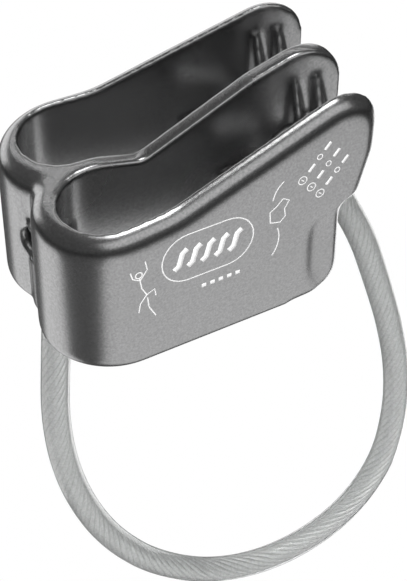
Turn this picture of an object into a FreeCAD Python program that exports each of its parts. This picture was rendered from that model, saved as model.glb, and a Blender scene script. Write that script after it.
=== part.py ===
import FreeCAD, Part
import math
import os
import Sketcher  # registers the sketch objects

os.makedirs("parts", exist_ok=True)
doc = FreeCAD.newDocument("belay_device")
Vector = FreeCAD.Vector

# ---------------------------------------------------------------- driving dimensions (mm, degrees)
# X runs along the rope slots (+X is the brake side), Y across them, Z up. The bottom face is Z = 0.
DIMENSIONS = [
    # the block seen from above
    ("left_end", -26.2, "left end of the lobes"),
    ("lobe_radius", 11.2, "outer radius of each lobe"),
    ("face_y_brake", 15.1, "outer face to the middle, at face_x_brake"),
    ("face_x_brake", 21.4, "place where face_y_brake is measured"),
    ("face_taper", 5.5, "angle by which each outer face closes in towards the brake side"),
    ("wall", 2.8, "thickness of the three walls"),
    ("slot_end_x", -15.2, "centre of the round left end of each rope slot"),
    ("nose_end_x", 20.9, "right end of the block under the wings"),
    ("groove_radius", 3.0, "round bottom of the brake groove"),
    ("groove_centre_x", 14.2, "centre of that round bottom"),
    ("groove_centre_y", 7.7, "distance of the groove from the middle"),
    ("groove_start_x", 5.0, "place where a slot starts to narrow"),
    ("recess_x", 15.2, "start of the recessed column under a wing"),
    ("recess_y", 14.9, "outer face of the recessed column"),
    ("recess_foot_x", 17.7, "start of that column at the bottom"),
    ("recess_turn_z", 6.0, "height from which its edge leans away"),
    ("recess_turn_round", 6.0, "rounding of that edge's bend"),
    ("recess_top_round", 2.5, "rounding of that edge's upper end"),
    # the block seen from the side
    ("left_height", 24.8, "crest at the left end"),
    ("crest_angle", 6.0, "slope of the crest over the lobes"),
    ("rise_x", -8.0, "place where the outer crests start to rise"),
    ("rise_angle", 20.5, "slope of the outer crests up to the wings"),
    ("dip_start_x", -15.5, "place where the middle crest leaves the outer one"),
    ("dip_x", -6.4, "lowest place of the middle crest"),
    ("dip_height", 24.6, "height of that place"),
    ("rise_round", 16.0, "rounding where an outer crest starts to rise"),
    ("shoulder_round", 7.0, "rounding where an outer crest reaches its wing"),
    ("dip_start_round", 8.0, "rounding where the middle crest leaves the outer one"),
    ("dip_round", 2.6, "rounding of the middle crest's lowest place"),
    ("dip_shoulder_round", 9.0, "rounding where the middle crest reaches its wing"),
    ("dip_run", 23.0, "length of the middle crest's rise to its wing"),
    ("wing_top", 36.7, "top of the wings"),
    ("wing_end_x", 26.8, "right end of the wings"),
    ("wing_radius", 6.4, "round top corner of a wing"),
    ("wing_side_x", 26.6, "right end of the wings where it starts to slope in"),
    ("wing_side_z", 25.7, "height of that place"),
    ("wing_side_round", 9.0, "rounding of that place"),
    ("wing_foot_x", 24.4, "lower right corner of a wing"),
    ("wing_foot_z", 18.0, "height of that corner"),
    ("under_wing_round", 1.2, "rounding between a wing's lower edge and the brake end"),
    ("wing_edge_z", 15.6, "height of a wing's lower edge at the recess"),
    ("bottom_corner", 5.0, "round lower corner under the wings"),
    ("groove_top", 18.2, "floor of the open grooves between the wings"),
    ("crest_round", 2.9, "rounding of the outer edges of crests and wings"),
    ("foot_round", 1.4, "rounding of the lower edges"),
    ("lobe_groove_round", 2.0, "rounding in the groove between the lobes"),
    # ribs
    ("rib_top", 32.2, "top of the friction ribs"),
    ("rib_foot_z", 21.8, "foot of the friction ribs"),
    ("rib_foot_radius", 1.6, "radius of a rib at its foot"),
    ("rib_sunk", 0.3, "depth of a rib's axis inside its wall"),
    ("rib_tip_radius", 0.75, "radius of a rib at its top"),
    ("rib_lean", 6.0, "lean of the ribs towards the brake side"),
    ("rib_first_x", 18.4, "first rib at its top"),
    ("rib_second_x", 22.2, "second rib at its top"),
    # cable and its ends
    ("sheath_diameter", 4.8, "outside of the plastic sheath"),
    ("core_diameter", 3.0, "wire rope inside the sheath"),
    ("bore_diameter", 5.6, "both cable bores, which the end stops fill"),
    ("left_bore_x", -21.2, "left cable bore"),
    ("left_boss_radius", 3.7, "thick part of the web round the left bore"),
    ("left_boss_top", 17.0, "top of that thick part"),
    ("left_bore_depth", 8.0, "depth of the left bore"),
    ("pocket_z", 13.0, "height of the cross hole in the groove between the lobes"),
    ("pocket_diameter", 5.6, "cross hole"),
    ("pocket_end_x", -18.85, "inner end of the cross hole"),
    ("pocket_length", 12.0, "length of the tool that drills it"),
    ("stop_length", 3.35, "length of both end stops"),
    ("right_exit_x", 23.4, "right cable exit"),
    ("right_exit_z", 14.0, "height of the right cable exit"),
    ("right_tilt", 28.5, "angle of the right bore from upright"),
    ("right_boss_radius", 3.9, "boss round the right bore"),
    ("right_boss_length", 11.0, "length of that boss"),
    ("right_bore_depth", 8.5, "depth of the right bore"),
    ("swing_gap", 0.95, "distance of the swing axis outside each exit"),
]

sheet = doc.addObject("Spreadsheet::Sheet", "dimensions")
for row, (alias, value, note) in enumerate(DIMENSIONS, start=1):
    sheet.set("A%d" % row, alias)
    sheet.set("B%d" % row, str(value))
    sheet.setAlias("B%d" % row, alias)
    sheet.set("C%d" % row, note)
doc.recompute()


def size(alias):
    """One driving dimension, read from the sheet."""
    return float(sheet.get(alias))


def bind(feature, prop, expression):
    """Bind a property to cells of the sheet; every alias in the expression is written in brackets."""
    feature.setExpression(prop, expression.replace("[", "dimensions.").replace("]", ""))


# ---------------------------------------------------------------- sketch helpers
def origin_plane(body, role):
    for item in body.Origin.OriginFeatures:
        if item.Role == role:
            return item
    raise ValueError(role)


def new_sketch(body, name, role, offset=(0, 0, 0)):
    sketch = body.newObject("Sketcher::SketchObject", name)
    sketch.AttachmentSupport = [(origin_plane(body, role), "")]
    sketch.MapMode = "FlatFace"
    sketch.AttachmentOffset = FreeCAD.Placement(Vector(*offset), FreeCAD.Rotation())
    return sketch


def rounded_outline(sketch, corners):
    """Closed outline through corners (x, y, radius), each rounded by a tangent arc."""
    count = len(corners)
    ends = []
    for i, (x, y, radius) in enumerate(corners):
        here = Vector(x, y, 0)
        before = Vector(corners[i - 1][0], corners[i - 1][1], 0) - here
        after = Vector(corners[(i + 1) % count][0], corners[(i + 1) % count][1], 0) - here
        before.normalize()
        after.normalize()
        if radius <= 0:
            ends.append((here, here))
            continue
        half = before.getAngle(after) / 2.0
        setback = radius / math.tan(half)
        start = here + before * setback
        end = here + after * setback
        inward = before + after
        inward.normalize()
        centre = here + inward * (radius / math.sin(half))
        middle = centre - inward * radius
        sketch.addGeometry(Part.Arc(start, middle, end), False)
        ends.append((start, end))
    for i in range(count):
        start = ends[i][1]
        end = ends[(i + 1) % count][0]
        if start.distanceToPoint(end) > 1e-6:
            sketch.addGeometry(Part.LineSegment(start, end), False)


def pocket(body, sketch, name, length=None, reversed_cut=False, midplane=False):
    """Pocket that must remove material."""
    before = body.Tip.Shape.Volume
    feature = body.newObject("PartDesign::Pocket", name)
    feature.Profile = sketch
    if length is None:
        feature.Type = 1
    else:
        bind(feature, "Length", length)
    feature.Midplane = midplane
    feature.Reversed = reversed_cut
    doc.recompute()
    removed = before - feature.Shape.Volume
    if removed < 1.0:
        raise ValueError("%s cuts nothing" % name)
    return feature


# ---------------------------------------------------------------- shapes shared by several features
TAPER = math.tan(math.radians(size("face_taper")))
LEAN = math.cos(math.radians(size("face_taper")))
LOBE_X = size("left_end") + size("lobe_radius")


def face_y(x):
    """Distance of the outer faces from the middle plane at x."""
    return size("face_y_brake") + TAPER * (size("face_x_brake") - x)


LOBE_Y = face_y(LOBE_X) - size("lobe_radius") / LEAN
SLOT_RADIUS = (face_y(size("slot_end_x")) - 1.5 * size("wall")) * LEAN / (1.0 + LEAN)


def tangent_point(centre_x, centre_y, radius):
    """Place where a circle touches a line that runs parallel to the outer face."""
    angle = math.radians(90.0 - size("face_taper"))
    return centre_x + radius * math.cos(angle), centre_y + radius * math.sin(angle)


# ---------------------------------------------------------------- the forged and machined brake body
def brake_outline(sketch):
    """Block seen from above: two round lobes, two flat faces that close in, a blunt brake end."""
    radius = size("lobe_radius")
    centre_y = LOBE_Y
    touch_x, touch_y = tangent_point(LOBE_X, centre_y, radius)
    right = size("wing_end_x") + 4.0
    right_y = touch_y - TAPER * (right - touch_x)
    touch_angle = math.radians(90.0 - size("face_taper"))
    notch_angle = math.pi + math.asin(centre_y / radius)

    def on_lobe(angle, side):
        x = LOBE_X + radius * math.cos(angle)
        y = centre_y + radius * math.sin(angle)
        return Vector(x, side * y, 0)

    for side in (1.0, -1.0):
        middle_angle = (touch_angle + notch_angle) / 2.0
        sketch.addGeometry(Part.Arc(on_lobe(touch_angle, side), on_lobe(middle_angle, side),
                                    on_lobe(notch_angle, side)), False)
        sketch.addGeometry(Part.LineSegment(on_lobe(touch_angle, side),
                                            Vector(right, side * right_y, 0)), False)
    sketch.addGeometry(Part.LineSegment(Vector(right, right_y, 0), Vector(right, -right_y, 0)), False)


def crest_height(x):
    """Height of the sloping crest over the lobes."""
    return size("left_height") + math.tan(math.radians(size("crest_angle"))) * (x - size("left_end"))


def wing_corners(crest):
    """Outline of the wing end, from the end of the rising crest round to the block's bottom."""
    return crest + [
        (size("wing_end_x"), size("wing_top"), size("wing_radius")),
        (size("wing_side_x"), size("wing_side_z"), size("wing_side_round")),
        (size("wing_foot_x"), size("wing_foot_z"), 0.0),
    ]


def side_outline(sketch):
    """Everything outside the block's side view, between that outline and a large frame."""
    rise_z = crest_height(size("rise_x"))
    climb = math.tan(math.radians(size("rise_angle")))
    shoulder_x = size("rise_x") + (size("wing_top") - rise_z) / climb
    edge_slope = (size("wing_foot_z") - size("wing_edge_z")) / (size("wing_foot_x") - size("recess_x"))
    under_z = size("wing_edge_z") + edge_slope * (size("nose_end_x") - size("recess_x"))
    crest = [
        (size("left_end") - 1.0, 0.0, 0.0),
        (size("left_end") - 1.0, crest_height(size("left_end") - 1.0), 0.0),
        (size("rise_x"), rise_z, size("rise_round")),
        (shoulder_x, size("wing_top"), size("shoulder_round")),
    ]
    corners = wing_corners(crest) + [
        (size("nose_end_x"), under_z, size("under_wing_round")),
        (size("nose_end_x"), 0.0, size("bottom_corner")),
    ]
    rounded_outline(sketch, corners)
    frame = [(-45.0, -10.0, 0.0), (-45.0, 60.0, 0.0), (45.0, 60.0, 0.0), (45.0, -10.0, 0.0)]
    rounded_outline(sketch, frame)


def dip_outline(sketch):
    """Region above the middle crest, which dips between the lobes and its wing."""
    before_x = size("dip_start_x") - 4.0
    corner_x = size("dip_start_x") + 1.5
    shoulder_x = size("dip_x") + size("dip_run")
    above = size("wing_top") + 12.0
    corners = [
        (before_x, crest_height(before_x), 0.0),
        (corner_x, crest_height(corner_x), size("dip_start_round")),
        (size("dip_x"), size("dip_height"), size("dip_round")),
        (shoulder_x, size("wing_top"), size("dip_shoulder_round")),
        (shoulder_x + 4.0, size("wing_top"), 0.0),
        (shoulder_x + 4.0, above, 0.0),
        (before_x, above, 0.0),
    ]
    rounded_outline(sketch, corners)


def slot_outline(sketch):
    """Both rope slots: a round end between the lobes, two straight sides and a narrow groove."""
    radius = SLOT_RADIUS
    centre_x = size("slot_end_x")
    inner_y = size("wall") / 2.0
    centre_y = inner_y + radius
    outer_x, outer_y = tangent_point(centre_x, centre_y, radius)
    small = size("groove_radius")
    small_x = size("groove_centre_x")
    small_y = size("groove_centre_y")
    start_x = size("groove_start_x")
    outer_start = outer_y - TAPER * (start_x - outer_x)
    inner_lean = math.atan2(small_y - small - inner_y, small_x - start_x)
    outer_lean = math.atan2(outer_start - small_y - small, small_x - start_x)
    for side in (1.0, -1.0):
        def at(x, y):
            return Vector(x, side * y, 0)
        low = at(small_x + small * math.sin(inner_lean), small_y - small * math.cos(inner_lean))
        high = at(small_x + small * math.sin(outer_lean), small_y + small * math.cos(outer_lean))
        sketch.addGeometry(Part.Arc(at(outer_x, outer_y), at(centre_x - radius, centre_y),
                                    at(centre_x, inner_y)), False)
        sketch.addGeometry(Part.LineSegment(at(centre_x, inner_y), at(start_x, inner_y)), False)
        sketch.addGeometry(Part.LineSegment(at(start_x, inner_y), low), False)
        sketch.addGeometry(Part.Arc(low, at(small_x + small, small_y), high), False)
        sketch.addGeometry(Part.LineSegment(high, at(start_x, outer_start)), False)
        sketch.addGeometry(Part.LineSegment(at(start_x, outer_start), at(outer_x, outer_y)), False)


def gap_outline(sketch, left):
    """The two gaps between the wings, from a given place to beyond the brake end."""
    right = size("wing_end_x") + 5.0
    inner_y = size("wall") / 2.0
    for side in (1.0, -1.0):
        corners = [
            (left, side * inner_y, 0.0),
            (right, side * inner_y, 0.0),
            (right, side * (face_y(right) - size("wall")), 0.0),
            (left, side * (face_y(left) - size("wall")), 0.0),
        ]
        rounded_outline(sketch, corners)


def recess_outline(sketch):
    """The recessed column under a wing, seen from the side; its edge leans away at the foot."""
    slope = (size("wing_foot_z") - size("wing_edge_z")) / (size("wing_foot_x") - size("recess_x"))
    right = size("wing_foot_x") + 3.0
    corners = [
        (size("recess_foot_x"), -1.0, 0.0),
        (size("recess_x"), size("recess_turn_z"), size("recess_turn_round")),
        (size("recess_x"), size("wing_edge_z"), size("recess_top_round")),
        (right, size("wing_edge_z") + slope * (right - size("recess_x")), 0.0),
        (right, -1.0, 0.0),
    ]
    rounded_outline(sketch, corners)


def is_upright(edge):
    start = edge.Vertexes[0]
    end = edge.Vertexes[-1]
    return abs(start.X - end.X) < 1e-3 and abs(start.Y - end.Y) < 1e-3


def is_crosswise(edge):
    start = edge.Vertexes[0]
    end = edge.Vertexes[-1]
    straight = isinstance(edge.Curve, (Part.Line, Part.LineSegment))
    return straight and abs(start.X - end.X) < 1e-3 and abs(start.Z - end.Z) < 1e-3


def fillet(body, name, radius, wanted):
    """Round the edges that pass a test on the edge and its middle point."""
    base = body.Tip
    names = []
    for index, edge in enumerate(base.Shape.Edges, start=1):
        middle = edge.valueAt((edge.FirstParameter + edge.LastParameter) / 2.0)
        if wanted(edge, middle):
            names.append("Edge%d" % index)
    feature = body.newObject("PartDesign::Fillet", name)
    feature.Base = (base, names)
    bind(feature, "Radius", radius)
    doc.recompute()
    return feature


def add_primitive(body, kind, name, placement, **sizes):
    """Additive or subtractive primitive with every size bound to the sheet."""
    before = body.Tip.Shape.Volume
    feature = body.newObject("PartDesign::" + kind, name)
    feature.MapMode = "Deactivated"
    feature.Placement = placement
    for prop, expression in sizes.items():
        bind(feature, prop, expression)
    doc.recompute()
    if abs(feature.Shape.Volume - before) < 0.5:
        raise ValueError("%s changes nothing" % name)
    return feature


def tilt(angle):
    """Rotation that leans the Z axis by an angle towards -X."""
    return FreeCAD.Rotation(Vector(0, 1, 0), -angle)


# ---------------------------------------------------------------- the cable's places
RIGHT_EXIT = Vector(size("right_exit_x"), 0, size("right_exit_z"))
LEFT_EXIT = Vector(size("left_bore_x"), 0, 0)
RIGHT_TURN = math.radians(size("right_tilt"))
RIGHT_BORE = Vector(-math.sin(RIGHT_TURN), 0, math.cos(RIGHT_TURN))
LEFT_BORE = Vector(0, 0, 1)

# Share of the shorter of two runs that the arc between them may use up.
ARC_SHARE = 0.45

# Depth in each bore where the cable's fixed end starts.
BORE_RIM = 0.5

# Points of the cable's line from the left exit to the right one, as x and z in the middle plane.
CABLE_ROUTE = [
    (-21.2, 0.0),
    (-22.3, -13.1),
    (-23.2, -25.9),
    (-22.1, -39.4),
    (-18.7, -52.4),
    (-13.5, -63.8),
    (-5.5, -74.5),
    (6.6, -83.3),
    (20.8, -85.5),
    (34.0, -79.8),
    (42.0, -67.8),
    (44.0, -53.8),
    (43.2, -40.8),
    (40.7, -28.8),
    (37.3, -17.3),
    (32.7, -3.1),
    (23.4, 14.0),
]


def make_brake_body():
    """The one-piece forging: block, slots, open grooves, middle crest, columns, ribs and bores."""
    body = doc.addObject("PartDesign::Body", "brake_body")
    body.Label = "brake_body"
    plan = new_sketch(body, "plan", "XY_Plane")
    brake_outline(plan)
    block = body.newObject("PartDesign::Pad", "block")
    block.Profile = plan
    bind(block, "Length", "[wing_top] + [wall]")
    doc.recompute()

    side = new_sketch(body, "side_view", "XZ_Plane")
    side_outline(side)
    pocket(body, side, "side_trim", midplane=True)
    fillet(body, "lobe_groove_round", "[lobe_groove_round]",
           lambda edge, at: is_upright(edge) and abs(at.y) < 1.0 and at.x < -20.0)
    waist = size("wing_foot_z") + 0.5
    fillet(body, "outer_round", "[crest_round]",
           lambda edge, at: not is_upright(edge) and not is_crosswise(edge) and at.z > waist)
    fillet(body, "foot_edge_round", "[foot_round]",
           lambda edge, at: not is_upright(edge) and not is_crosswise(edge) and at.z <= waist)

    slots = new_sketch(body, "slots", "XY_Plane")
    slot_outline(slots)
    pocket(body, slots, "rope_slots", reversed_cut=True)
    grooves = new_sketch(body, "grooves", "XY_Plane", (0, 0, size("groove_top")))
    gap_outline(grooves, size("groove_start_x") - 2.0)
    pocket(body, grooves, "open_grooves", reversed_cut=True)
    gaps = new_sketch(body, "gaps", "XY_Plane")
    gap_outline(gaps, size("nose_end_x"))
    pocket(body, gaps, "wing_gaps", reversed_cut=True)
    dip = new_sketch(body, "dip", "XZ_Plane")
    dip_outline(dip)
    pocket(body, dip, "crest_dip", length="2 * [wall] + 1.5", midplane=True)
    for name, place, outward in (("near_recess", 1.0, True), ("far_recess", -1.0, False)):
        recess = new_sketch(body, name + "_view", "XZ_Plane", (0, 0, place * size("recess_y")))
        recess_outline(recess)
        pocket(body, recess, name, length="[recess_y]", reversed_cut=outward)

    add_ribs(body)
    add_cable_seats(body)
    return body


def add_ribs(body):
    """Two friction ribs on each face that a brake strand runs against."""
    lean = tilt(size("rib_lean"))
    shift = (size("rib_top") - size("rib_foot_z")) * math.tan(math.radians(size("rib_lean")))
    number = 0
    for top_x in (size("rib_first_x"), size("rib_second_x")):
        foot_x = top_x + shift
        outer_face = face_y(foot_x) - size("wall") + size("rib_sunk")
        middle_face = size("wall") / 2.0 - size("rib_sunk")
        for y in (-outer_face, -middle_face, middle_face, outer_face):
            number += 1
            place = FreeCAD.Placement(Vector(foot_x, y, size("rib_foot_z")), lean)
            add_primitive(body, "AdditiveCone", "rib_%d" % number, place,
                          Radius1="[rib_foot_radius]", Radius2="[rib_tip_radius]",
                          Height="[rib_top] - [rib_foot_z]")


def add_cable_seats(body):
    """Thick parts round the two cable bores, the bores, and the cross hole between the lobes."""
    upright = FreeCAD.Rotation()
    add_primitive(body, "AdditiveCylinder", "left_boss", FreeCAD.Placement(LEFT_EXIT, upright),
                  Radius="[left_boss_radius]", Height="[left_boss_top]")
    right_axis = tilt(size("right_tilt"))
    add_primitive(body, "AdditiveCylinder", "right_boss", FreeCAD.Placement(RIGHT_EXIT, right_axis),
                  Radius="[right_boss_radius]", Height="[right_boss_length]")
    below = LEFT_EXIT - LEFT_BORE
    add_primitive(body, "SubtractiveCylinder", "left_bore", FreeCAD.Placement(below, upright),
                  Radius="[bore_diameter] / 2", Height="[left_bore_depth] + 1")
    outside = RIGHT_EXIT - RIGHT_BORE
    add_primitive(body, "SubtractiveCylinder", "right_bore", FreeCAD.Placement(outside, right_axis),
                  Radius="[bore_diameter] / 2", Height="[right_bore_depth] + 1")
    along_x = FreeCAD.Rotation(Vector(0, 1, 0), -90)
    inner_end = Vector(size("pocket_end_x"), 0, size("pocket_z"))
    add_primitive(body, "SubtractiveCylinder", "cross_hole", FreeCAD.Placement(inner_end, along_x),
                  Radius="[pocket_diameter] / 2", Height="[pocket_length]")


# ---------------------------------------------------------------- the cable, its sheath and end stops
def straight_piece(name, start, direction, first, last, outer, inner=None):
    """Round bar or sleeve from one depth in a bore to another, as primitives bound to the sheet."""
    place = FreeCAD.Placement(start + direction * first, FreeCAD.Rotation(Vector(0, 0, 1), direction))
    bar = doc.addObject("Part::Cylinder", name if inner is None else name + "_bar")
    bind(bar, "Radius", outer)
    bar.Height = last - first
    bar.Placement = place
    if inner is None:
        bar.Label = name
        return bar
    hole = doc.addObject("Part::Cylinder", name + "_hole")
    bind(hole, "Radius", inner)
    hole.Height = last - first
    hole.Placement = place
    sleeve = doc.addObject("Part::Cut", name)
    sleeve.Base = bar
    sleeve.Tool = hole
    sleeve.Label = name
    return sleeve


def loop_path():
    """Straight runs joined by tangent arcs, each arc as large as its two runs allow."""
    points = [Vector(x, 0, z) for x, z in CABLE_ROUTE]
    gap = size("swing_gap")
    first = (points[1] - points[0]).normalize()
    last = (points[-2] - points[-1]).normalize()
    here = points[0] + first * gap
    end = points[-1] + last * gap
    pieces = []
    length = 0.0
    for before, corner, after in zip(points, points[1:], points[2:]):
        back = before - corner
        ahead = after - corner
        half = back.getAngle(ahead) / 2.0
        shorter = min(back.Length, ahead.Length)
        setback = ARC_SHARE * shorter
        radius = setback * math.tan(half)
        back.normalize()
        ahead.normalize()
        start = corner + back * setback
        finish = corner + ahead * setback
        inward = (back + ahead).normalize()
        middle = corner + inward * (radius / math.sin(half) - radius)
        pieces.append(Part.LineSegment(here, start).toShape())
        pieces.append(Part.Arc(start, middle, finish).toShape())
        length += here.distanceToPoint(start) + radius * (math.pi - 2.0 * half)
        here = finish
    pieces.append(Part.LineSegment(here, end).toShape())
    length += here.distanceToPoint(end)
    return Part.Wire(pieces), length


def swept_bar(path, diameter):
    start = path.Edges[0].valueAt(path.Edges[0].FirstParameter)
    direction = path.Edges[0].tangentAt(path.Edges[0].FirstParameter)
    ring = Part.Wire(Part.makeCircle(diameter / 2.0, start, direction))
    return path.makePipeShell([ring], True, True)


def make_loop():
    """The free loop: a plain core bar and the sheath round it, checked by volume."""
    path, length = loop_path()
    core_shape = swept_bar(path, size("core_diameter"))
    sheath_shape = swept_bar(path, size("sheath_diameter")).cut(core_shape)
    core_area = math.pi * size("core_diameter") ** 2 / 4.0
    sheath_area = math.pi * size("sheath_diameter") ** 2 / 4.0 - core_area
    for shape, area in ((core_shape, core_area), (sheath_shape, sheath_area)):
        if abs(shape.Volume / (area * length) - 1.0) > 0.02:
            raise ValueError("the swept loop has the wrong volume")
    print("free loop length %.1f mm" % length)
    made = []
    for name, shape in (("loop_core", core_shape), ("loop_sheath", sheath_shape)):
        piece = doc.addObject("Part::Feature", name)
        piece.Shape = shape
        piece.Label = name
        made.append(piece)
    return made


def make_cable_ends():
    """The stretches of cable inside the two bores, and the crimped stop at each inner end."""
    core = "[core_diameter] / 2"
    sheath = "[sheath_diameter] / 2"
    made = []
    for side, exit_place, bore in (("left", LEFT_EXIT, LEFT_BORE), ("right", RIGHT_EXIT, RIGHT_BORE)):
        top = size(side + "_bore_depth")
        stop_low = top - size("stop_length")
        made.append(straight_piece(side + "_core_root", exit_place, bore, BORE_RIM, top, core))
        made.append(straight_piece(side + "_sheath_root", exit_place, bore, BORE_RIM, stop_low,
                                   sheath, core))
        made.append(straight_piece(side + "_end_stop", exit_place, bore, stop_low, top,
                                   "[bore_diameter] / 2", core))
    return made


# ---------------------------------------------------------------- build, check and write
nodes = [make_brake_body()] + make_cable_ends() + make_loop()
doc.recompute()
for item in doc.Objects:
    if "Invalid" in item.State or "Error" in item.State:
        raise ValueError("%s failed" % item.Name)
for node in nodes:
    if node.Shape.isNull() or not node.Shape.isValid() or len(node.Shape.Solids) != 1:
        raise ValueError("%s is not one good solid" % node.Label)
for node in nodes:
    node.Shape.exportStep("parts/%s.step" % node.Label)
    box = node.Shape.BoundBox
    print("%-18s %9.1f mm3  x %.1f..%.1f  y %.1f..%.1f  z %.1f..%.1f" % (
        node.Label, node.Shape.Volume, box.XMin, box.XMax, box.YMin, box.YMax, box.ZMin, box.ZMax))
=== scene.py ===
import math

import bmesh
import bpy
import numpy as np
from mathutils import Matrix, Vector


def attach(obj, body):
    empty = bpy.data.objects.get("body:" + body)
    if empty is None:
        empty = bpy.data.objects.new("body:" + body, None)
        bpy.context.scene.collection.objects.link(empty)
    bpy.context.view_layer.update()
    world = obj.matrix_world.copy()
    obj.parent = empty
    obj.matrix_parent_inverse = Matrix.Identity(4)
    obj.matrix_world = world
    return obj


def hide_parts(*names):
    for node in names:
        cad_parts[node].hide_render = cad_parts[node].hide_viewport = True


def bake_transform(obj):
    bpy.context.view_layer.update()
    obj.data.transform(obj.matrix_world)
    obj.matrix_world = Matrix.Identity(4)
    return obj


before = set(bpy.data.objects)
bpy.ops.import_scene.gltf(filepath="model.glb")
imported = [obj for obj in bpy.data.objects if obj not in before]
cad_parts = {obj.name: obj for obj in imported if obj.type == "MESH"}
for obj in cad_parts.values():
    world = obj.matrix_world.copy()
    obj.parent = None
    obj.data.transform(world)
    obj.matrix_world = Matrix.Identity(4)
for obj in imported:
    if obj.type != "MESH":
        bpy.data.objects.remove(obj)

bl_info = {
    "name": "Belay device",
    "version": (1, 0, 0),
    "blender": (4, 5, 0),
    "location": "3D View > Sidebar > Belay",
    "description": "Builds the look of a belay device with a wire keeper loop round its CAD frame",
    "category": "Object",
}

MM = 0.001

# The cable's line in the plane Y = 0, as x and z in millimetres, from one blind bore to the other.
LEFT_EXIT = (-21.2, 0.0)
RIGHT_EXIT = (23.4, 14.0)
CABLE_ROUTE = [
    LEFT_EXIT,
    (-22.3, -13.1),
    (-23.2, -25.9),
    (-22.1, -39.4),
    (-18.7, -52.4),
    (-13.5, -63.8),
    (-5.5, -74.5),
    (6.6, -83.3),
    (20.8, -85.5),
    (34.0, -79.8),
    (42.0, -67.8),
    (44.0, -53.8),
    (43.2, -40.8),
    (40.7, -28.8),
    (37.3, -17.3),
    (32.7, -3.1),
    RIGHT_EXIT,
]
LEFT_ROOT = (-21.2, 4.6)
RIGHT_ROOT = (20.97, 18.48)

# Height of the printed drawing's zero line over the underside.
MARKS_FOOT = 1.2

# The near outer face is a plane that closes in towards the wings.
FACE_X = 21.4
FACE_Y = 15.1
FACE_TAPER = math.radians(5.5)

# The round lobes at the other end, which the faces run into.
LOBE_X = -15.0
LOBE_RADIUS = 11.2
LOBE_EDGE_X = LOBE_X + LOBE_RADIUS * math.sin(FACE_TAPER)
LOBE_EDGE_Y = FACE_Y + (FACE_X - LOBE_EDGE_X) * math.tan(FACE_TAPER)
LOBE_Y = LOBE_EDGE_Y - LOBE_RADIUS * math.cos(FACE_TAPER)

# Widths of the printed marks, besides the thin lines: rope strokes, dashes, small signs and bars.
ROPE_STROKE = 1.15
DASH_STROKE = 0.8
SIGN_STROKE = 0.2
BAR_STROKE = 0.62
SIZE_BARS = (1.5, 0.9, 1.5)

# Share of the way to its neighbours' mean that a point moves in one smoothing pass.
SOFT_STEP = 0.5

# The floor's half width and its level, in metres.
FLOOR_HALF = 3.0
FLOOR_LEVEL = -0.35

# Each light's place and size in metres and its radiance; the last is whether metal mirrors it.
LIGHTS = (
    ("strip", (0.24, 0.53, 0.55), (1.0, 0.06), 2.2, True),
    ("overhead", (0.05, 0.0, 0.95), (0.35, 0.35), 7.0, True),
    ("back_card", (0.0, 0.90, 0.10), (1.6, 0.6), 1.2, True),
    ("front_top", (0.10, -0.70, 0.60), (1.2, 0.7), 0.85, True),
    ("front_card", (0.06, -0.21, -0.24), (0.46, 0.26), 0.8, True),
    ("left_card", (-0.21, 0.11, -0.24), (0.24, 0.24), 1.0, True),
    ("right_card", (0.24, 0.11, -0.20), (0.20, 0.20), 2.0, True),
    ("matt_fill", (-0.45, -0.60, 0.35), (0.9, 0.9), 2.2, False),
)


def point(x, z, y=0.0):
    """A point of the row frame from millimetres in the middle plane."""
    return Vector((x * MM, y * MM, z * MM))


def link(item):
    bpy.context.scene.collection.objects.link(item)
    return item


def baked(item, name):
    """A plain mesh object with the modifiers of another one applied, which it takes the place of."""
    graph = bpy.context.evaluated_depsgraph_get()
    mesh = bpy.data.meshes.new_from_object(item.evaluated_get(graph))
    mesh.name = name
    bpy.data.objects.remove(item)
    return link(bpy.data.objects.new(name, mesh))


def smooth(mesh):
    mesh.polygons.foreach_set("use_smooth", [True] * len(mesh.polygons))
    mesh.update()


def new_material(name):
    """A material with its default node tree, its Principled shader and the shader's node tree."""
    material = bpy.data.materials.new(name)
    material.use_nodes = True
    tree = material.node_tree
    shader = tree.nodes["Principled BSDF"]
    return material, tree, shader


def noise_from_object(tree, scale, detail=2.0, stretch=(1.0, 1.0, 1.0)):
    """Noise in Object coordinates; its Fac output."""
    place = tree.nodes.new("ShaderNodeTexCoord")
    mapping = tree.nodes.new("ShaderNodeMapping")
    mapping.inputs["Scale"].default_value = stretch
    noise = tree.nodes.new("ShaderNodeTexNoise")
    noise.inputs["Scale"].default_value = scale
    noise.inputs["Detail"].default_value = detail
    tree.links.new(place.outputs["Object"], mapping.inputs["Vector"])
    tree.links.new(mapping.outputs["Vector"], noise.inputs["Vector"])
    return noise.outputs["Fac"]


def mapped(tree, value, low, high, from_low=0.0, from_high=1.0):
    node = tree.nodes.new("ShaderNodeMapRange")
    node.inputs["From Min"].default_value = from_low
    node.inputs["From Max"].default_value = from_high
    node.inputs["To Min"].default_value = low
    node.inputs["To Max"].default_value = high
    tree.links.new(value, node.inputs["Value"])
    return node.outputs["Result"]


def grey_ramp(tree, value, dark, light):
    node = tree.nodes.new("ShaderNodeValToRGB")
    node.color_ramp.elements[0].color = (*dark, 1.0)
    node.color_ramp.elements[1].color = (*light, 1.0)
    tree.links.new(value, node.inputs["Fac"])
    return node.outputs["Color"]


def bump(tree, height, strength, distance):
    node = tree.nodes.new("ShaderNodeBump")
    node.inputs["Strength"].default_value = strength
    node.inputs["Distance"].default_value = distance
    tree.links.new(height, node.inputs["Height"])
    return node.outputs["Normal"]


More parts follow.
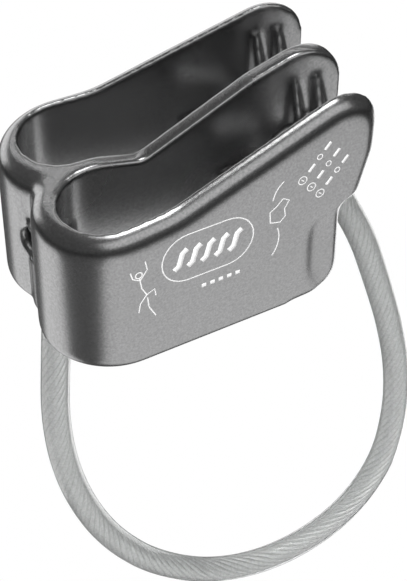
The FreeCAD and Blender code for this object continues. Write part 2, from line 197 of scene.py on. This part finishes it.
def anodised_material(settings):
    """Satin grey anodised aluminium: blasted grain, and faint wear in broad patches."""
    material, tree, shader = new_material("anodised_aluminium")
    shader.inputs["Metallic"].default_value = 1.0
    grain = noise_from_object(tree, settings.grain_scale, 3.0)
    patches = noise_from_object(tree, 60.0, 3.0)
    cover = mapped(tree, grain, 0.0, 1.0, 0.3, 0.7)
    tone = grey_ramp(tree, cover, (0.36, 0.36, 0.362), (0.46, 0.46, 0.462))
    tree.links.new(tone, shader.inputs["Base Color"])
    tree.links.new(mapped(tree, patches, 0.25, 0.29), shader.inputs["Roughness"])
    tree.links.new(bump(tree, grain, 0.25, 0.00003), shader.inputs["Normal"])
    return material


def wire_material():
    """Bright drawn steel wire with fine scratches."""
    material, tree, shader = new_material("steel_wire")
    shader.inputs["Metallic"].default_value = 0.35
    scratches = noise_from_object(tree, 2500.0, 2.0)
    shade = mapped(tree, scratches, 0.0, 1.0, 0.35, 0.65)
    tone = grey_ramp(tree, shade, (0.78, 0.79, 0.78), (0.95, 0.96, 0.95))
    tree.links.new(tone, shader.inputs["Base Color"])
    tree.links.new(mapped(tree, scratches, 0.25, 0.4), shader.inputs["Roughness"])
    return material


def sheath_material():
    """Clear soft plastic, a little cloudy, with a shallow uneven bump."""
    material, tree, shader = new_material("clear_sheath")
    shader.inputs["Transmission Weight"].default_value = 0.85
    shader.inputs["IOR"].default_value = 1.42
    shader.inputs["Base Color"].default_value = (0.93, 0.94, 0.94, 1.0)
    haze = noise_from_object(tree, 900.0, 2.0)
    tree.links.new(mapped(tree, haze, 0.04, 0.1), shader.inputs["Roughness"])
    tree.links.new(bump(tree, haze, 0.12, 0.00005), shader.inputs["Normal"])
    return material


def stop_material():
    """Plain crimped aluminium."""
    material, tree, shader = new_material("crimped_aluminium")
    shader.inputs["Metallic"].default_value = 1.0
    wear = noise_from_object(tree, 1500.0, 3.0)
    tree.links.new(grey_ramp(tree, wear, (0.5, 0.5, 0.5), (0.75, 0.75, 0.76)), shader.inputs["Base Color"])
    tree.links.new(mapped(tree, wear, 0.3, 0.5), shader.inputs["Roughness"])
    return material


def ink_with_painted_glow_material():
    """White printing ink with slightly uneven cover, and a painted glow: a faint emission that keeps it
    white.
    """
    material, tree, shader = new_material("white_ink_painted_glow")
    cover = noise_from_object(tree, 3000.0, 2.0)
    tree.links.new(grey_ramp(tree, cover, (0.8, 0.8, 0.8), (0.95, 0.95, 0.95)), shader.inputs["Base Color"])
    shader.inputs["Roughness"].default_value = 0.55
    # Painted glow: the ink emits a little white light of its own, as if it were brightly lit.
    shader.inputs["Emission Color"].default_value = (1.0, 1.0, 1.0, 1.0)
    shader.inputs["Emission Strength"].default_value = 0.3
    return material


def floor_material(settings):
    """Pale seamless paper, lit to plain white where it is seen directly."""
    material, tree, shader = new_material("studio_paper")
    fibre = noise_from_object(tree, 40.0, 4.0)
    tone = settings.paper_tone
    tree.links.new(grey_ramp(tree, fibre, (tone, tone, tone), (tone + 0.03, tone + 0.03, tone + 0.03)),
                   shader.inputs["Base Color"])
    shader.inputs["Roughness"].default_value = 0.9
    white = tree.nodes.new("ShaderNodeEmission")
    white.inputs["Strength"].default_value = 1.0
    seen = tree.nodes.new("ShaderNodeLightPath")
    mix = tree.nodes.new("ShaderNodeMixShader")
    tree.links.new(seen.outputs["Is Camera Ray"], mix.inputs["Fac"])
    tree.links.new(shader.outputs["BSDF"], mix.inputs[1])
    tree.links.new(white.outputs["Emission"], mix.inputs[2])
    tree.links.new(mix.outputs["Shader"], tree.nodes["Material Output"].inputs["Surface"])
    return material


def route_curve(name):
    """The cable's NURBS line, with a straight piece down each bore."""
    places = [LEFT_ROOT, *CABLE_ROUTE, RIGHT_ROOT]
    data = bpy.data.curves.new(name, "CURVE")
    data.dimensions = "3D"
    data.resolution_u = 16
    spline = data.splines.new("NURBS")
    spline.points.add(len(places) - 1)
    for control, (x, z) in zip(spline.points, places):
        control.co = (*point(x, z), 1.0)
    spline.order_u = 3
    spline.use_endpoint_u = True
    return link(bpy.data.objects.new(name, data))


def route_points():
    """Points along the NURBS line, in the row frame."""
    curve = route_curve("cable_route")
    graph = bpy.context.evaluated_depsgraph_get()
    mesh = bpy.data.meshes.new_from_object(curve.evaluated_get(graph))
    places = [vertex.co.copy() for vertex in mesh.vertices]
    bpy.data.meshes.remove(mesh)
    bpy.data.objects.remove(curve)
    return places


def tube_mesh(name, places, radius, sides):
    """A closed tube along points that lie in a plane Y = constant."""
    mesh = bpy.data.meshes.new(name)
    shape = bmesh.new()
    rings = []
    for index, place in enumerate(places):
        before = places[max(index - 1, 0)]
        after = places[min(index + 1, len(places) - 1)]
        along = (after - before).normalized()
        across = Vector((0.0, 1.0, 0.0))
        up = along.cross(across)
        ring = []
        for side in range(sides):
            turn = 2.0 * math.pi * side / sides
            ring.append(shape.verts.new(place + radius * (math.cos(turn) * across + math.sin(turn) * up)))
        rings.append(ring)
    for ring, following in zip(rings, rings[1:]):
        for side in range(sides):
            beside = (side + 1) % sides
            shape.faces.new((ring[side], ring[beside], following[beside], following[side]))
    shape.faces.new(rings[0][::-1])
    shape.faces.new(rings[-1])
    bmesh.ops.recalc_face_normals(shape, faces=shape.faces)
    shape.to_mesh(mesh)
    shape.free()
    return mesh


def wires_tree(material):
    """Lays wires in a helix round a line in the plane Y = 0, with a filling bar inside them."""
    tree = bpy.data.node_groups.new("laid_wires", "GeometryNodeTree")
    face = tree.interface
    face.new_socket("Line", in_out="INPUT", socket_type="NodeSocketGeometry")
    face.new_socket("Wires", in_out="INPUT", socket_type="NodeSocketInt")
    face.new_socket("Lay radius", in_out="INPUT", socket_type="NodeSocketFloat")
    face.new_socket("Wire radius", in_out="INPUT", socket_type="NodeSocketFloat")
    face.new_socket("Lay length", in_out="INPUT", socket_type="NodeSocketFloat")
    face.new_socket("Wires", in_out="OUTPUT", socket_type="NodeSocketGeometry")
    start = tree.nodes.new("NodeGroupInput")
    end = tree.nodes.new("NodeGroupOutput")

    def connect(source, target):
        tree.links.new(source, target)

    def maths(operation, first, second=None):
        node = tree.nodes.new("ShaderNodeMath")
        node.operation = operation
        for socket, value in zip(node.inputs, (first, second)):
            if isinstance(value, (int, float)):
                socket.default_value = value
            elif value is not None:
                connect(value, socket)
        return node.outputs[0]

    def scaled(vector, factor):
        node = tree.nodes.new("ShaderNodeVectorMath")
        node.operation = "SCALE"
        if isinstance(vector, tuple):
            node.inputs[0].default_value = vector
        else:
            connect(vector, node.inputs[0])
        connect(factor, node.inputs["Scale"])
        return node.outputs[0]

    line = tree.nodes.new("GeometryNodeMeshToCurve")
    connect(start.outputs["Line"], line.inputs["Mesh"])
    fine = tree.nodes.new("GeometryNodeResampleCurve")
    fine.inputs["Count"].default_value = 420
    connect(line.outputs["Curve"], fine.inputs["Curve"])
    copies = tree.nodes.new("GeometryNodeDuplicateElements")
    copies.domain = "SPLINE"
    connect(fine.outputs["Curve"], copies.inputs["Geometry"])
    connect(start.outputs["Wires"], copies.inputs["Amount"])

    share = maths("DIVIDE", copies.outputs["Duplicate Index"], start.outputs["Wires"])
    spline = tree.nodes.new("GeometryNodeSplineParameter")
    turns = maths("DIVIDE", spline.outputs["Length"], start.outputs["Lay length"])
    angle = maths("MULTIPLY", maths("ADD", share, turns), 2.0 * math.pi)
    tangent = tree.nodes.new("GeometryNodeInputTangent")
    cross = tree.nodes.new("ShaderNodeVectorMath")
    cross.operation = "CROSS_PRODUCT"
    connect(tangent.outputs["Tangent"], cross.inputs[0])
    cross.inputs[1].default_value = (0.0, 1.0, 0.0)
    across = scaled((0.0, 1.0, 0.0), maths("MULTIPLY", maths("COSINE", angle), start.outputs["Lay radius"]))
    up = scaled(cross.outputs[0], maths("MULTIPLY", maths("SINE", angle), start.outputs["Lay radius"]))
    offset = tree.nodes.new("ShaderNodeVectorMath")
    connect(across, offset.inputs[0])
    connect(up, offset.inputs[1])
    moved = tree.nodes.new("GeometryNodeSetPosition")
    connect(copies.outputs["Geometry"], moved.inputs["Geometry"])
    connect(offset.outputs[0], moved.inputs["Offset"])

    def swept(curve, radius, sides):
        ring = tree.nodes.new("GeometryNodeCurvePrimitiveCircle")
        ring.inputs["Resolution"].default_value = sides
        connect(radius, ring.inputs["Radius"])
        sweep = tree.nodes.new("GeometryNodeCurveToMesh")
        sweep.inputs["Fill Caps"].default_value = True
        connect(curve, sweep.inputs["Curve"])
        connect(ring.outputs["Curve"], sweep.inputs["Profile Curve"])
        return sweep.outputs["Mesh"]

    wires = swept(moved.outputs["Geometry"], start.outputs["Wire radius"], 8)
    filling = swept(fine.outputs["Curve"], start.outputs["Lay radius"], 12)
    both = tree.nodes.new("GeometryNodeJoinGeometry")
    connect(wires, both.inputs["Geometry"])
    connect(filling, both.inputs["Geometry"])
    real = tree.nodes.new("GeometryNodeRealizeInstances")
    connect(both.outputs["Geometry"], real.inputs["Geometry"])
    painted = tree.nodes.new("GeometryNodeSetMaterial")
    painted.inputs["Material"].default_value = material
    connect(real.outputs["Geometry"], painted.inputs["Geometry"])
    connect(painted.outputs["Geometry"], end.inputs["Wires"])
    return tree


def soften(mesh, passes, share=None):
    """Rounds a mesh's edges; share gives how much each point takes part, from its place in mm."""
    count = len(mesh.vertices)
    places = np.empty(3 * count, np.float32)
    mesh.vertices.foreach_get("co", places)
    places = places.reshape(-1, 3).astype(float)
    ends = np.empty(2 * len(mesh.edges), np.int32)
    mesh.edges.foreach_get("vertices", ends)
    ends = ends.reshape(-1, 2)
    here = np.concatenate([ends[:, 0], ends[:, 1]])
    there = np.concatenate([ends[:, 1], ends[:, 0]])
    degree = np.bincount(here, minlength=count)
    part = np.ones(count) if share is None else share(*(places.T / MM))
    for _ in range(passes):
        for axis in range(3):
            mean = np.bincount(here, weights=places[there, axis], minlength=count) / degree
            places[:, axis] += SOFT_STEP * part * (mean - places[:, axis])
    mesh.vertices.foreach_set("co", places.astype(np.float32).ravel())
    mesh.update()


def ramp(value, low, high):
    """A soft step from 0 at low to 1 at high."""
    share = np.clip((value - low) / (high - low), 0.0, 1.0)
    return share * share * (3.0 - 2.0 * share)


def wide_rounding(x, y, z):
    """Share of the extra rounding: the outer rims of the lobes, and the column under the wings."""
    side = np.abs(y)
    from_lobe = np.hypot(x - LOBE_X, side - LOBE_Y)
    face = FACE_Y + (FACE_X - x) * math.tan(FACE_TAPER)
    depth = np.where(x < LOBE_EDGE_X, LOBE_RADIUS - from_lobe, face - side)
    outer = 1.0 - ramp(depth, 1.0, 2.4)
    rim = outer * ramp(z, 18.0, 21.0) * (1.0 - 0.8 * ramp(x, -12.0, 4.0))
    crease = (1.0 - ramp(depth, 2.6, 4.0)) * ramp(x, 11.0, 13.0) * (1.0 - ramp(z, 15.0, 18.5))
    return np.maximum(0.6 * rim, crease)


def face_place(x, z, out):
    """A point on the near outer face, raised from it, from millimetres along and up."""
    if x < LOBE_EDGE_X:
        turn = math.asin((x - LOBE_X) / LOBE_RADIUS)
        y = LOBE_Y + LOBE_RADIUS * math.cos(turn)
    else:
        turn = FACE_TAPER
        y = FACE_Y + (FACE_X - x) * math.tan(FACE_TAPER)
    return Vector((x + out * math.sin(turn), -y - out * math.cos(turn), z)) * MM


def arc(centre, radius, start, end, steps=16):
    """Points of an arc, with its angles in degrees."""
    made = []
    for step in range(steps + 1):
        turn = math.radians(start + (end - start) * step / steps)
        made.append((centre[0] + radius * math.cos(turn), centre[1] + radius * math.sin(turn)))
    return made


def turned(places, centre, angle):
    """Points turned about a centre by degrees."""
    turn = math.radians(angle)
    made = []
    for x, z in places:
        dx = x - centre[0]
        dz = z - centre[1]
        made.append((centre[0] + dx * math.cos(turn) - dz * math.sin(turn),
                     centre[1] + dx * math.sin(turn) + dz * math.cos(turn)))
    return made


def printed_strokes(settings):
    """The marks of the near face as polylines, each with its line width, in millimetres."""
    thin = settings.line_width
    marks = []
    # A long ring with a plain twisted-rope sign inside.
    centre = (-2.9, 17.3)
    half = 3.3
    ring = arc((centre[0] + half, centre[1]), 4.4, -90, 90)
    ring += arc((centre[0] - half, centre[1]), 4.4, 90, 270)
    marks.append((ring + ring[:1], thin))
    for index in range(5):
        x = centre[0] - 4.6 + 2.3 * index
        twist = [(-1.1, -1.7), (-0.3, -1.1), (0.3, 1.1), (1.1, 1.7)]
        marks.append(([(x + dx, centre[1] + dz) for dx, dz in twist], ROPE_STROKE))
    # A row of dashes below it.
    for index in range(5):
        x = -4.0 + 1.45 * index
        marks.append(([(x, 10.55), (x + 0.75, 10.55)], DASH_STROKE))
    # A plain hanging figure with its rope.
    head = (-14.4, 17.3)
    marks.append((arc(head, 0.55, 0, 360), thin))
    marks.append(([(-14.3, 16.7), (-14.0, 14.6), (-13.2, 13.0)], thin))
    marks.append(([(-14.2, 16.2), (-13.0, 17.9), (-13.3, 19.6)], thin))
    marks.append(([(-14.2, 16.2), (-15.4, 16.9), (-15.7, 18.2)], thin))
    marks.append(([(-13.2, 13.0), (-11.9, 13.6), (-11.7, 12.2)], thin))
    marks.append(([(-13.2, 13.0), (-14.3, 11.6), (-14.6, 9.9)], thin))
    marks.append(([(-13.1, 12.4), (-12.9, 10.4), (-11.8, 8.2)], thin))
    # A closed hand on a rope.
    palm = (9.2, 19.2)
    hand = [(-1.5, -1.3), (-1.6, 0.8), (-0.6, 1.4), (0.6, 2.6),
            (1.7, 1.9), (0.9, 0.6), (1.1, -0.9), (0.2, -1.8)]
    marks.append(([(palm[0] + x, palm[1] + z) for x, z in hand + hand[:1]], thin))
    marks.append((arc((12.6, 21.4), 4.6, 172, 127), thin))
    marks.append((arc((3.9, 14.6), 5.4, 20, -38), thin))
    # Three slanting rows of size bars, each starting with a small ring.
    for row in range(3):
        start = (13.1 + 1.6 * row, 23.9 - 1.85 * row)
        marks.append((arc(start, 0.72, 0, 360), SIGN_STROKE))
        upright = [(start[0], start[1] - 0.3), (start[0], start[1] + 0.3)]
        marks.append((turned(upright, start, 50), SIGN_STROKE))
        along = 1.6
        for number, bar in enumerate(SIZE_BARS):
            if number == 1:
                middle = (start[0] + along + 0.45, start[1])
                marks.append((turned(arc(middle, 0.45, 0, 360), start, 50), SIGN_STROKE))
            else:
                places = [(start[0] + along, start[1]), (start[0] + along + bar, start[1])]
                marks.append((turned(places, start, 50), BAR_STROKE))
            along += bar + 0.85
    return marks


class BelaySettings(bpy.types.PropertyGroup):
    """Sizes of the pieces that are made here."""

    voxel: bpy.props.FloatProperty(
        name="Skin voxel", description="Cell size of the body's rounded skin",
        default=0.0002, unit="LENGTH", subtype="DISTANCE")
    rounds: bpy.props.IntProperty(
        name="Rounding passes", description="Smoothing passes that round the body's edges", default=40)
    rim_rounds: bpy.props.IntProperty(
        name="Rim passes", description="More passes for the wide rims and the column's crease", default=140)
    kept_faces: bpy.props.FloatProperty(
        name="Kept faces", description="Share of the skin's faces that is kept", default=0.28)
    sheath_radius: bpy.props.FloatProperty(
        name="Sheath radius", description="Outer radius of the clear sheath",
        default=0.0024, unit="LENGTH", subtype="DISTANCE")
    wires: bpy.props.IntProperty(name="Wires", description="Outer wires of the cable", default=9)
    lay_radius: bpy.props.FloatProperty(
        name="Lay radius", description="Radius of the circle on which the wires lie",
        default=0.00108, unit="LENGTH", subtype="DISTANCE")
    wire_radius: bpy.props.FloatProperty(
        name="Wire radius", description="Radius of one wire",
        default=0.00042, unit="LENGTH", subtype="DISTANCE")
    lay_length: bpy.props.FloatProperty(
        name="Lay length", description="Length of one turn of a wire",
        default=0.019, unit="LENGTH", subtype="DISTANCE")
    line_width: bpy.props.FloatProperty(
        name="Line width", description="Width of the thin printed lines, in millimetres", default=0.24)
    ink_height: bpy.props.FloatProperty(
        name="Ink height", description="Height of the ink over the face, in millimetres", default=0.006)
    grain_scale: bpy.props.FloatProperty(
        name="Grain scale", description="Scale of the blasted grain", default=2600.0)
    paper_tone: bpy.props.FloatProperty(
        name="Paper tone", description="Tone of the paper in reflections", default=0.12)
    world_tone: bpy.props.FloatProperty(
        name="World tone", description="Tone of the room in reflections", default=0.1)
    camera_lens: bpy.props.FloatProperty(
        name="Lens", description="Focal length of the camera, in millimetres", default=108.1)


class BELAY_OT_camera(bpy.types.Operator):
    """Place the camera"""

    bl_idname = "belay.camera"
    bl_label = "Camera"

    def execute(self, context):
        data = bpy.data.cameras.new("camera")
        data.lens = context.scene.belay.camera_lens
        data.sensor_width = 36.0
        camera = link(bpy.data.objects.new("camera", data))
        camera.location = point(-81.6, 189.2, -192.4)
        aim = point(4.1, -7.24)
        camera.rotation_euler = (aim - camera.location).to_track_quat("-Z", "Y").to_euler()
        context.scene.camera = camera
        return {"FINISHED"}


class BELAY_OT_cable(bpy.types.Operator):
    """Make the wire keeper loop and its clear sheath"""

    bl_idname = "belay.cable"
    bl_label = "Keeper cable"

    def execute(self, context):
        settings = context.scene.belay
        places = route_points()
        sheath_mesh = tube_mesh("keeper_sheath", places, settings.sheath_radius, 32)
        smooth(sheath_mesh)
        sheath_mesh.materials.append(sheath_material())
        sheath = link(bpy.data.objects.new("keeper_sheath", sheath_mesh))

        line = bpy.data.meshes.new("wire_line")
        steps = [(n, n + 1) for n in range(len(places) - 1)]
        line.from_pydata([tuple(place) for place in places], steps, [])
        host = link(bpy.data.objects.new("wire_line", line))
        modifier = host.modifiers.new("laid_wires", "NODES")
        tree = wires_tree(wire_material())
        values = {
            "Wires": settings.wires,
            "Lay radius": settings.lay_radius,
            "Wire radius": settings.wire_radius,
            "Lay length": settings.lay_length,
        }
        modifier.node_group = tree
        for item in tree.interface.items_tree:
            if item.in_out == "INPUT" and item.name in values:
                modifier[item.identifier] = values[item.name]
        wires = baked(host, "keeper_wires")
        smooth(wires.data)

        for piece in (sheath, wires):
            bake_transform(piece)
        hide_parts("loop_sheath", "left_sheath_root", "right_sheath_root")
        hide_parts("loop_core", "left_core_root", "right_core_root")
        return {"FINISHED"}


class BELAY_OT_body(bpy.types.Operator):
    """Make the forged body with its soft edges"""

    bl_idname = "belay.body"
    bl_label = "Brake body"

    def execute(self, context):
        settings = context.scene.belay
        skin = link(bpy.data.objects.new("body_draft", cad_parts["brake_body"].data.copy()))
        skin.data.materials.clear()
        remesh = skin.modifiers.new("even_cells", "REMESH")
        remesh.mode = "VOXEL"
        remesh.voxel_size = settings.voxel
        skin = baked(skin, "body_cells")
        soften(skin.data, settings.rounds)
        soften(skin.data, settings.rim_rounds, wide_rounding)
        lighter = skin.modifiers.new("fewer_faces", "DECIMATE")
        lighter.ratio = settings.kept_faces
        body = baked(skin, "brake_body_forging")
        smooth(body.data)
        body.data.materials.clear()
        body.data.materials.append(anodised_material(settings))
        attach(body, "brake")
        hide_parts("brake_body")
        return {"FINISHED"}


class BELAY_OT_stops(bpy.types.Operator):
    """Make the crimped end stops"""

    bl_idname = "belay.stops"
    bl_label = "End stops"

    def execute(self, context):
        material = stop_material()
        for node in ("left_end_stop", "right_end_stop"):
            draft = link(bpy.data.objects.new(node + "_draft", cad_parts[node].data.copy()))
            draft.data.materials.clear()
            edge = draft.modifiers.new("rolled_edge", "BEVEL")
            edge.width = 0.0003
            edge.segments = 3
            edge.limit_method = "ANGLE"
            edge.angle_limit = math.radians(50.0)
            stop = baked(draft, node + "_crimp")
            stop.data.materials.clear()
            stop.data.materials.append(material)
            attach(stop, "brake")
            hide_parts(node)
        return {"FINISHED"}


class BELAY_OT_print(bpy.types.Operator):
    """Print the plain white marks on the near face"""

    bl_idname = "belay.print"
    bl_label = "Printed marks"

    def execute(self, context):
        settings = context.scene.belay
        data = bpy.data.curves.new("marks_draft", "CURVE")
        data.dimensions = "3D"
        data.bevel_depth = 1.0
        data.bevel_resolution = 1
        data.use_fill_caps = True
        for places, width in printed_strokes(settings):
            spline = data.splines.new("POLY")
            spline.points.add(len(places) - 1)
            for control, (x, z) in zip(spline.points, places):
                control.co = (x, 0.0, z, 1.0)
                control.radius = width / 2.0
        marks = baked(link(bpy.data.objects.new("marks_draft", data)), "printed_marks")
        for vertex in marks.data.vertices:
            x, out, z = vertex.co
            vertex.co = face_place(x, z + MARKS_FOOT, settings.ink_height - 0.05 * out)
        smooth(marks.data)
        marks.data.materials.clear()
        marks.data.materials.append(ink_with_painted_glow_material())
        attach(marks, "brake")
        return {"FINISHED"}


class BELAY_OT_stage(bpy.types.Operator):
    """Make the paper floor and the soft lights"""

    bl_idname = "belay.stage"
    bl_label = "Stage"

    def execute(self, context):
        settings = context.scene.belay
        mesh = bpy.data.meshes.new("floor")
        corners = [(x * FLOOR_HALF, y * FLOOR_HALF, FLOOR_LEVEL)
                   for x, y in ((-1, -1), (1, -1), (1, 1), (-1, 1))]
        mesh.from_pydata(corners, [], [(0, 1, 2, 3)])
        mesh.materials.append(floor_material(settings))
        floor = link(bpy.data.objects.new("floor", mesh))

        world = bpy.data.worlds.new("studio")
        world.use_nodes = True
        background = world.node_tree.nodes["Background"]
        seen = world.node_tree.nodes.new("ShaderNodeLightPath")
        shade = mapped(world.node_tree, seen.outputs["Is Camera Ray"], settings.world_tone, 0.85)
        world.node_tree.links.new(shade, background.inputs["Color"])
        context.scene.world = world
        for name, place, size, radiance, mirrored in LIGHTS:
            data = bpy.data.lights.new(name, "AREA")
            data.shape = "RECTANGLE"
            data.size, data.size_y = size
            data.energy = radiance * math.pi * size[0] * size[1]
            lamp = link(bpy.data.objects.new(name, data))
            lamp.location = place
            lamp.visible_glossy = mirrored
            lamp.rotation_euler = (-Vector(place)).to_track_quat("-Z", "Y").to_euler()
        context.scene.view_settings.view_transform = "Standard"
        return {"FINISHED"}


class BELAY_PT_panel(bpy.types.Panel):
    """Sizes and steps of the belay device"""

    bl_idname = "BELAY_PT_panel"
    bl_label = "Belay device"
    bl_space_type = "VIEW_3D"
    bl_region_type = "UI"
    bl_category = "Belay"

    def draw(self, context):
        column = self.layout.column()
        for name in BelaySettings.__annotations__:
            column.prop(context.scene.belay, name)
        for step in STEPS:
            column.operator(step.bl_idname)


STEPS = (BELAY_OT_camera, BELAY_OT_cable, BELAY_OT_body, BELAY_OT_stops, BELAY_OT_print, BELAY_OT_stage)
CLASSES = (BelaySettings, *STEPS, BELAY_PT_panel)


def register():
    for item in CLASSES:
        bpy.utils.register_class(item)
    bpy.types.Scene.belay = bpy.props.PointerProperty(type=BelaySettings)


def unregister():
    del bpy.types.Scene.belay
    for item in reversed(CLASSES):
        bpy.utils.unregister_class(item)


def main():
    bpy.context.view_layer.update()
    register()
    bpy.ops.belay.camera()
    bpy.ops.belay.cable()
    bpy.ops.belay.body()
    bpy.ops.belay.stops()
    bpy.ops.belay.print()
    bpy.ops.belay.stage()


if __name__ == "__main__":
    main()
